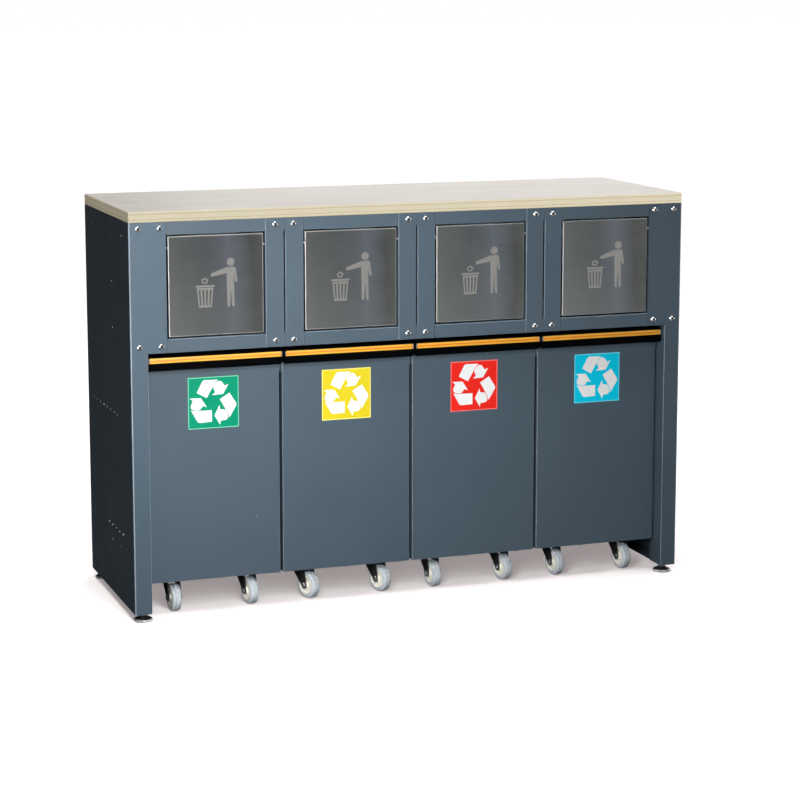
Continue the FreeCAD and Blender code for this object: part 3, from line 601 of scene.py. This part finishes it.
def hex_nut():
    """A chamfered nut behind two 2 mm sheets, with the end of the bolt through it."""
    nut_body = lathe("hex_nut", [(4, 4.0), (4, 6.6), (4.5, 7.5), (9.9, 7.5), (10.5, 6.6), (10.5, 4.0)], 48,
                     hexagonal({2, 3}))
    shank = lathe("bolt_end", [(4, 3.95), (4, 0), (14, 0), (14, 3.3), (13.4, 3.95)], 24)
    return [nut_body, shank]


def dome_rivet():
    return lathe("rivet", [(0, 2.5), (-0.4, 2.35), (-0.75, 1.8), (-0.95, 1.0), (-1, 0), (0, 0)], 20)


def frame_fasteners():
    """Detailed bolt heads, nuts and rivets where the CAD node has its plain ones."""
    (dome, socket), nut_parts, rivet_mesh = button_bolt(), hex_nut(), dome_rivet()
    heads, nuts, rivets = [], [], []
    for i, (low, high) in enumerate(solids("frame_fasteners")):
        centre, reach = (low + high) / (2 * MM), (high - low) / MM
        if reach.x < 2:
            inner_face, turn = (high.x, 0) if centre.x < 0 else (low.x, 180)
            rivets.append((rivet_mesh, at(inner_face / MM, centre.y, centre.z, (0, 0, turn)), 0))
        elif reach.y > 10:
            seat, turn = (low.y / MM + HEAD_HEIGHT, 90) if centre.y < 0 else (high.y / MM - HEAD_HEIGHT, -90)
            spot = at(centre.x, seat, centre.z, (0, 0, turn)) @ at(turn=(37 * i % 60, 0, 0))
            heads += [(dome, spot, 0), (socket, spot, 1)]
            nuts += [(mesh, spot, 0) for mesh in nut_parts]
    # The black steel lining the sockets is painted shade in the recess.
    bolts = joined("button_bolts", heads, [BRIGHT_ZINC, BLACK_STEEL])
    piece("button_bolts", bolts, "cabinet", replaces=["frame_fasteners"])
    piece("bolt_nuts", joined("bolt_nuts", nuts, [ZINC]), "cabinet")
    piece("side_rivets", joined("side_rivets", rivets, [ZINC]), "cabinet")


frame_fasteners()

# ---------------------------------------------------------------- casters


# millimetres about the middle of a bin, on the floor
AXLE_HEIGHT = 32
TRAIL = 25
CASTER_X = 90
SWIVEL_Y = -120
RIGID_Y = 101
PLATE_Z = 87
SCREW_REACH = 24
ARM_INNER, ARM_OUTER = 13, 16
ARM_THICKNESS = ARM_OUTER - ARM_INNER


def wheel_mesh():
    """A grooved tyre on a dished hub with a bearing ring, about the axle."""
    half_tyre = [(9.2, 21.9), (10.8, 23), (10.9, 24.6), (10.5, 27), (9.6, 29.2), (8.2, 30.8), (6.6, 31.6),
                 (5.8, 31.7), (5.4, 29.4), (3.6, 29.4), (3.2, 31.8), (2.2, 32)]
    tyre = lathe("tyre", half_tyre + [(-x, r) for x, r in reversed(half_tyre)], 72)
    half_hub = [(11.9, 4.1), (12, 4.5), (12, 7.4), (11.5, 8.2), (9.4, 9), (8.9, 10), (9.1, 14), (9.9, 18.2),
                (10.7, 19.2), (11, 20.2), (10.9, 21.6), (10.3, 22.4), (9, 22.4)]
    hub = lathe("hub", half_hub + [(-x, r) for x, r in reversed(half_hub)], 72)
    parts = [(tyre, Matrix(), 0), (hub, Matrix(), 1)]
    ring = [(12.1, 4.2), (12.3, 4.6), (12.3, 5.8), (12.1, 6.2), (11.6, 6.2), (11.6, 4.2)]
    bearing = lathe("bearing", ring, 32)
    parts += [(bearing, Matrix(), 2), (bearing, at(turn=(0, 0, 180)), 2)]
    return joined("caster_wheel", parts, [TYRE, HUB, ZINC])


def axle_parts(y, z):
    """A hex bolt and a lock nut across a fork at the axle."""
    profile = [(15.8, 0), (15.8, 7.2), (16.6, 7.2), (16.6, 6.2), (18.4, 6.2), (18.9, 5.2), (18.9, 0)]
    head = lathe("axle_head", profile, 48, hexagonal({3, 4}))
    shank = lathe("axle_shank", [(-17, 0), (-17, 3.9), (17, 3.9), (17, 0)], 24)
    return [(head, at(0, y, z), 1), (head, at(0, y, z, (0, 0, 180)), 1), (shank, at(0, y, z), 1)]


def arm_outline(axle_y, axle_z, low_y, high_y, top):
    """One fork arm seen from the side: straight under the plate, narrowing to an eye round the axle."""
    return ([(low_y, top), (low_y, top - 9)] + arc(axle_y, axle_z, 8.5, 172, 352, 14)
            + [(high_y, top - 12), (high_y, top)])


def arms(axle_y, axle_z, low_y, high_y, top):
    outline = [arm_outline(axle_y, axle_z, low_y, high_y, top), ring_of(axle_y, axle_z, 4, 20)]
    arm = sheet_mesh("fork_arm", outline, ARM_THICKNESS, 0.5)
    return [(arm, at(x, turn=UPRIGHT), 0) for x in (ARM_INNER, -ARM_OUTER)]


def swivel_fork_mesh():
    """The fork under a swivel plate, about the kingpin's line, with the raceway above it."""
    parts = arms(-TRAIL, AXLE_HEIGHT, -25, 20, 80.5)
    yoke = sheet_mesh("yoke", [rounded(-16, 16, -25, 20, 3), ring_of(0, 0, 5.2)], 3, 0.7)
    parts.append((yoke, at(z=79), 0))
    crown = lathe("crown", [(81.8, 5.2), (81.8, 20), (82.4, 21.4), (83.2, 22), (84.4, 22), (85.2, 21.3),
                            (85.6, 20), (86.4, 19.4), (86.4, 5.2)], 56)
    parts.append((crown, at(turn=STANDING), 0))
    return joined("swivel_fork", parts + axle_parts(-TRAIL, AXLE_HEIGHT), [BLACK_STEEL, ZINC])


def plate_parts(x, y):
    """A caster's top plate with its slotted corners and four screws."""
    corners = [(cu, cv) for cu in (-SCREW_REACH, SCREW_REACH) for cv in (-SCREW_REACH, SCREW_REACH)]
    slots = [rounded(cu - 4.2, cu + 4.2, cv - 3.1, cv + 3.1, 3, 4) for cu, cv in corners]
    plate = sheet_mesh("caster_plate", [rounded(-32, 32, -32, 32, 5)] + slots, 3, 0.5)
    profile = [(0, 0), (0, 6.4), (-0.7, 6.4), (-0.7, 5), (-3.6, 5), (-4, 4.4), (-4, 0)]
    screw = lathe("plate_screw", profile, 24, hexagonal({3, 4}))
    screws = [(screw, at(x + cu, y + cv, PLATE_Z, STANDING), 1) for cu, cv in corners]
    return [(plate, at(x, y, PLATE_Z), 0)] + screws


def caster_mounts_mesh():
    """Two swivel plates with their kingpins and two rigid forks, about the middle of a bin."""
    parts = []
    profile = [(76.2, 0), (76.2, 7.2), (76.8, 8), (78.7, 8), (78.7, 4.9), (88, 4.9), (88, 0)]
    pin = lathe("kingpin", profile, 32, hexagonal({1, 2, 3}))
    rigid_fork = arms(0, AXLE_HEIGHT, -20, 20, PLATE_Z + 0.4) + axle_parts(0, AXLE_HEIGHT)
    for x in (-CASTER_X, CASTER_X):
        parts += plate_parts(x, SWIVEL_Y)
        parts.append((pin, at(x, SWIVEL_Y, turn=STANDING), 1))
        parts += plate_parts(x, RIGID_Y)
        parts += [(mesh, at(x, RIGID_Y) @ spot, number) for mesh, spot, number in rigid_fork]
    return joined("caster_mounts", parts, [BLACK_STEEL, ZINC])


WHEELS = []


def axle_turn(joint):
    """How far a wheel's axle stands turned about the upright."""
    return math.atan2(axes[joint].y, axes[joint].x)


def casters():
    wheel, fork, mounts = wheel_mesh(), swivel_fork_mesh(), caster_mounts_mesh()
    for n in BINS:
        centre = pivots[f"flap_{n}_swing"].x
        piece(f"bin_{n}_mounts", mounts, f"bin_{n}", (centre, 0, 0),
              [f"bin_{n}_caster_mounts"])
        for hand in ("left", "right"):
            kingpin = pivots[f"bin_{n}_swivel_{hand}"]
            node = f"bin_{n}_fork_{hand}"
            piece(f"bin_{n}_swivel_{hand}", fork, node, (kingpin.x, kingpin.y, 0), [node],
                  axle_turn(f"bin_{n}_spin_front_{hand}"))
            for row in ("front", "rear"):
                node = f"bin_{n}_wheel_{row}_{hand}"
                turn = axle_turn(f"bin_{n}_spin_{row}_{hand}")
                WHEELS.append(
                    piece(f"bin_{n}_caster_{row}_{hand}", wheel, node, middle(node), [node], turn))


casters()

# ---------------------------------------------------------------- stickers, grips and pictograms


def arrow_outlines():
    """Three chasing arrows of folded band round a triangle, in millimetres about their middle."""
    band = [(-38.5, 25), (-25.5, 50), (-22.5, 53.3), (-19.6, 54.5), (12.7, 54), (7, 48), (0, 36.5),
            (-14.7, 11.5)]
    head = [(1.5, 35.5), (4.5, 42), (9, 48), (14.5, 51), (20.5, 50), (25, 45), (29.5, 38.5), (38.5, 42),
            (25, 19), (-1.5, 17.7), (6, 24)]
    turns = [Matrix.Rotation(-third * math.tau / 3, 2) for third in range(3)]
    middle_x, size = -1.6, 0.97
    return [[(middle_x + size * u, size * v) for u, v in (turn @ Vector(point) for point in outline)]
            for turn in turns for outline in (band, head)]


def sticker_mesh(n):
    """A square label with a pale border line and white arrows."""
    half = 60
    label = sheet_mesh("label", [rounded(-half, half, -half, half, 1.5)], 0.2)
    rim = sheet_mesh("rim", [rounded(-59.4, 59.4, -59.4, 59.4, 1.2), rounded(-58, 58, -58, 58, 1)], 0.24)
    bands = [(sheet_mesh("arrow", [outline], 0.27), Matrix(), 0) for outline in arrow_outlines()]
    arrows = joined("arrows", bands, [])
    parts = [(mesh, at(turn=FACING_FRONT), number) for number, mesh in enumerate((label, rim, arrows))]
    return joined(f"sticker_{n}", parts, [INKS[n], PALE_INKS[n], WHITE])


def grip_mesh():
    """An amber strip with a softly crowned face and a bright tip at each end."""
    low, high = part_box("bin_1_grip_strip")
    width = (high.x - low.x) / MM
    tip = 2.6
    section = [(0, 0.2), (0, 11.8), (-2.1, 11.9), (-2.6, 11.4), (-2.85, 9.5), (-2.95, 7.4), (-2.75, 7.1),
               (-2.75, 6.7), (-2.95, 6.4), (-2.95, 4.6), (-2.8, 2.4), (-2.5, 0.5), (-2.1, 0.1)]
    span = sheet_mesh("strip", [section], width - 2 * tip)
    cap = sheet_mesh("tip", [section], tip - 0.2, 0.15)
    start = -width / 2
    parts = [(span, at(start + tip, turn=UPRIGHT), 0), (cap, at(start, turn=UPRIGHT), 1),
             (cap, at(-start - tip + 0.2, turn=UPRIGHT), 1)]
    return joined("grip_strip", parts, [AMBER, SILVER])


def labels_and_grips():
    grip = grip_mesh()
    for n in BINS:
        low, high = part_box(f"bin_{n}_sticker")
        centre = (low + high) / 2
        piece(f"bin_{n}_label", sticker_mesh(n), f"bin_{n}", (centre.x, high.y, centre.z),
              [f"bin_{n}_sticker"])
        low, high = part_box(f"bin_{n}_grip_strip")
        piece(f"bin_{n}_grip", grip, f"bin_{n}", ((low.x + high.x) / 2, high.y, low.z),
              [f"bin_{n}_grip_strip"])


def pictogram_outlines():
    """A standing person dropping a folded sheet into a slatted bin, in millimetres about their middle."""
    head = ring_of(34, 47, 9, 28)
    person = (
        arc(40, 30, 6, 90, 20, 4) + [(49.5, 5)] + arc(46.3, 4, 3.2, 0, -160, 5) + [(40.5, 20)]
        + [(42.5, -52)] + arc(39.5, -52, 3, 0, -180, 4) + [(33.8, -12)]
        + arc(28.5, -52, 3, 0, -180, 4) + [(24.5, 22)]
        + [(-8, 15.5)] + arc(-9, 19.3, 3.9, -75, -255, 6) + [(24, 35.2)]
    )
    bin_middle, rim_height, rim_half, top_half, base_half, base = -26, -6, 22, 19, 15, -54
    rim = rounded(bin_middle - rim_half, bin_middle + rim_half, rim_height - 2, rim_height + 2.4, 2, 4)
    basket = [
        (bin_middle - top_half, rim_height - 3.4), (bin_middle + top_half, rim_height - 3.4),
        (bin_middle + base_half, base), (bin_middle - base_half, base),
    ]
    slots = []
    for k in (-1.5, -0.5, 0.5, 1.5):
        upper, lower = bin_middle + 8.6 * k, bin_middle + 7 * k
        slots.append([(upper - 2.2, rim_height - 8), (upper + 2.2, rim_height - 8), (lower + 1.7, base + 5),
                      (lower - 1.7, base + 5)])
    sheet = [(-26, 14), (-18, 7.5), (-23, -0.5), (-33, 1), (-34.5, 9)]
    fold = [(-26, 10.4), (-21.8, 6.8), (-24.6, 2.4), (-30.6, 3.4), (-31.4, 7.8)]
    return [head, person, rim, basket, sheet, fold] + slots


def pictograms():
    etching = sheet_mesh("pictogram", pictogram_outlines(), 0.12)
    mesh = joined("pictogram", [(etching, at(turn=FACING_FRONT), 0)], [ETCH])
    for n in BINS:
        low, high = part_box(f"flap_{n}")
        piece(f"flap_{n}_pictogram", mesh, f"flap_{n}",
              ((low.x + high.x) / 2, low.y + 0.02 * MM, (low.z + high.z) / 2 + 4 * MM))


labels_and_grips()
pictograms()

# ---------------------------------------------------------------- CAD pieces with their materials


def dress(node, finish, edge=0.0):
    """Give a CAD piece its material, and soften its edges in millimetres."""
    shape = nodes[node]
    for place in shape.material_slots:
        place.material = finish
    if edge:
        weld = shape.modifiers.new("weld", "WELD")
        weld.merge_threshold = 0.00001
        flat = shape.modifiers.new("flat_faces", "DECIMATE")
        flat.decimate_type = "DISSOLVE"
        flat.angle_limit = math.radians(1)
        bevel = shape.modifiers.new("edges", "BEVEL")
        bevel.width = edge * MM
        bevel.segments = 2
        bevel.limit_method = "ANGLE"
        bevel.angle_limit = math.radians(50)
        shading = shape.modifiers.new("shading", "WEIGHTED_NORMAL")
        shading.weight = 100


for node in ("side_panel_left", "side_panel_right"):
    dress(node, PANEL_PAINT, 0.7)
for node in ("rear_panel", "front_rails"):
    dress(node, PAINT, 0.7)
for n in BINS:
    dress(f"aperture_frame_{n}", PAINT, 0.8)
    dress(f"bin_{n}_body", PAINT, 0.6)
    dress(f"bin_{n}_handle", BLACK_PROFILE, 0.6)
    dress(f"flap_{n}", STAINLESS)
dress("worktop", PLY, 0.5)
dress("foot_pads", FOOT)
dress("foot_studs", ZINC)

# ---------------------------------------------------------------- floor, light and camera


def floor():
    """A wide pale floor that shows as pale, and throws little light back under the object."""
    mesh = bpy.data.meshes.new("floor")
    reach = 60.0
    mesh.from_pydata([(-reach, -reach, 0), (reach, -reach, 0), (reach, reach, 0), (-reach, reach, 0)], [],
                     [(0, 1, 2, 3)])
    made = bpy.data.objects.new("floor", mesh)
    bpy.context.scene.collection.objects.link(made)
    made.location.z = cad_box[0].z - 0.0001
    finish = material("floor_paper", (0.86, 0.83, 0.82), 0.9)
    tone = spread(finish, noise(finish, object_point(finish), 3, 3), 0.0, 1.0)
    pale = ramp(finish, tone, (0, (0.88, 0.86, 0.855)), (1, (0.9, 0.88, 0.875)))
    seen = add(finish, "LightPath").outputs["Is Camera Ray"]
    link(finish, mix(finish, seen, (0.06, 0.06, 0.062), pale), "Base Color")
    link(finish, seen, "Emission Strength")
    shader_of(finish).inputs["Emission Color"].default_value = (0.3, 0.265, 0.265, 1)
    shader_of(finish).inputs["Specular IOR Level"].default_value = 0.0
    mesh.materials.append(finish)


def sky():
    world = bpy.data.worlds.new("studio")
    bpy.context.scene.world = world
    world.use_nodes = True
    tree = world.node_tree
    background = tree.nodes["Background"]
    seen = tree.nodes.new("ShaderNodeLightPath")
    level = tree.nodes.new("ShaderNodeMapRange")
    level.inputs["To Min"].default_value = 0.035
    level.inputs["To Max"].default_value = 1.0
    tree.links.new(seen.outputs["Is Camera Ray"], level.inputs["Value"])
    tree.links.new(level.outputs["Result"], background.inputs["Strength"])
    background.inputs["Color"].default_value = (1, 1, 1, 1)


def lamp(name, kind, energy, place, look_at=None, turn=None, size=None, **settings):
    """A light that the camera doesn't see."""
    light = bpy.data.lights.new(name, kind)
    light.energy = energy
    if size:
        light.shape = "RECTANGLE"
        light.size, light.size_y = size
    made = bpy.data.objects.new(name, light)
    bpy.context.scene.collection.objects.link(made)
    made.location = place
    if look_at:
        made.rotation_euler = (Vector(look_at) - Vector(place)).to_track_quat("-Z", "Y").to_euler()
    else:
        made.rotation_euler = [math.radians(a) for a in turn]
    made.visible_camera = False
    for key, value in settings.items():
        setattr(made, key, value)
    return made


def receivers(light, state, *shapes):
    """Let a light reach only these objects, or everything but them."""
    lit = bpy.data.collections.new(f"{light.name}_receivers")
    light.light_linking.receiver_collection = lit
    for shape in shapes:
        lit.objects.link(shape)
    for member in lit.collection_objects:
        member.light_linking.link_state = state


def studio():
    sun = lamp("overhead", "SUN", 2.8, (0, -2, 5), turn=(3, 0, 0))
    sun.data.angle = math.radians(46)
    key = lamp("key_softbox", "AREA", 28, (-0.6, -1.45, 0.95), look_at=(-0.6, 0, 0.9), size=(0.5, 1.1),
               visible_glossy=False)
    receivers(key, "EXCLUDE", nodes["worktop"])
    edge_card = lamp("worktop_card", "AREA", 126, (0.0, -3.8, 0.9), look_at=(0, 0, 0.93), size=(6.5, 0.9),
                     visible_glossy=False)
    receivers(edge_card, "INCLUDE", nodes["worktop"])
    side_card = lamp("worktop_side_card", "AREA", 5, (-2.3, -0.2, 0.93), look_at=(0, -0.1, 0.93),
                     size=(0.8, 0.5), visible_glossy=False)
    receivers(side_card, "INCLUDE", nodes["worktop"])
    wheel_card = lamp("wheel_card", "AREA", 24, (-2.2, -2.0, 0.35), look_at=(0, -0.15, 0.03), size=(0.8, 0.4),
                      visible_glossy=False)
    receivers(wheel_card, "INCLUDE", *WHEELS)
    lamp("front_card", "AREA", 27, (0.3, -4.2, 1.0), look_at=(0.3, 0, 0.8), size=(8, 2.4))
    edge_strip = lamp("edge_strip", "AREA", 160, (-3.2, -1.6, 1.2), look_at=(0, -0.3, 0.6), size=(0.5, 1.4),
                      visible_diffuse=False)
    receivers(edge_strip, "EXCLUDE", nodes["side_panel_left"])
    lamp("right_strip", "AREA", 12, (3.2, -0.9, 0.7), look_at=(0, -0.3, 0.6), size=(0.4, 1.6),
         visible_diffuse=False)
    lamp("floor_card", "AREA", 2.5, (0, -1.6, 0.03), look_at=(0, -0.2, 0.6), size=(3.2, 0.6),
         visible_diffuse=False)
    lamp("right_fill", "AREA", 20, (3.2, 1.2, 1.6), look_at=(0.4, 0, 0.5), size=(1.6, 1.6))
    lamp("rear_fill", "AREA", 30, (1.5, 3.4, 1.7), look_at=(0, 0.2, 0.5), size=(2.4, 1.6))


def camera():
    data = bpy.data.cameras.new("camera")
    tilt_down, turn_right = 8.98, 19.79
    data.lens = 102.4
    data.sensor_width = 36
    data.shift_y = -0.08
    data.clip_end = 200
    made = bpy.data.objects.new("camera", data)
    bpy.context.scene.collection.objects.link(made)
    made.location = (-1.809, -5.141, 1.454)
    made.rotation_euler = (math.radians(90 - tilt_down), 0, math.radians(-turn_right))
    bpy.context.scene.camera = made


floor()
sky()
studio()
camera()
bpy.context.scene.view_settings.view_transform = "Standard"

bpy.context.view_layer.update()
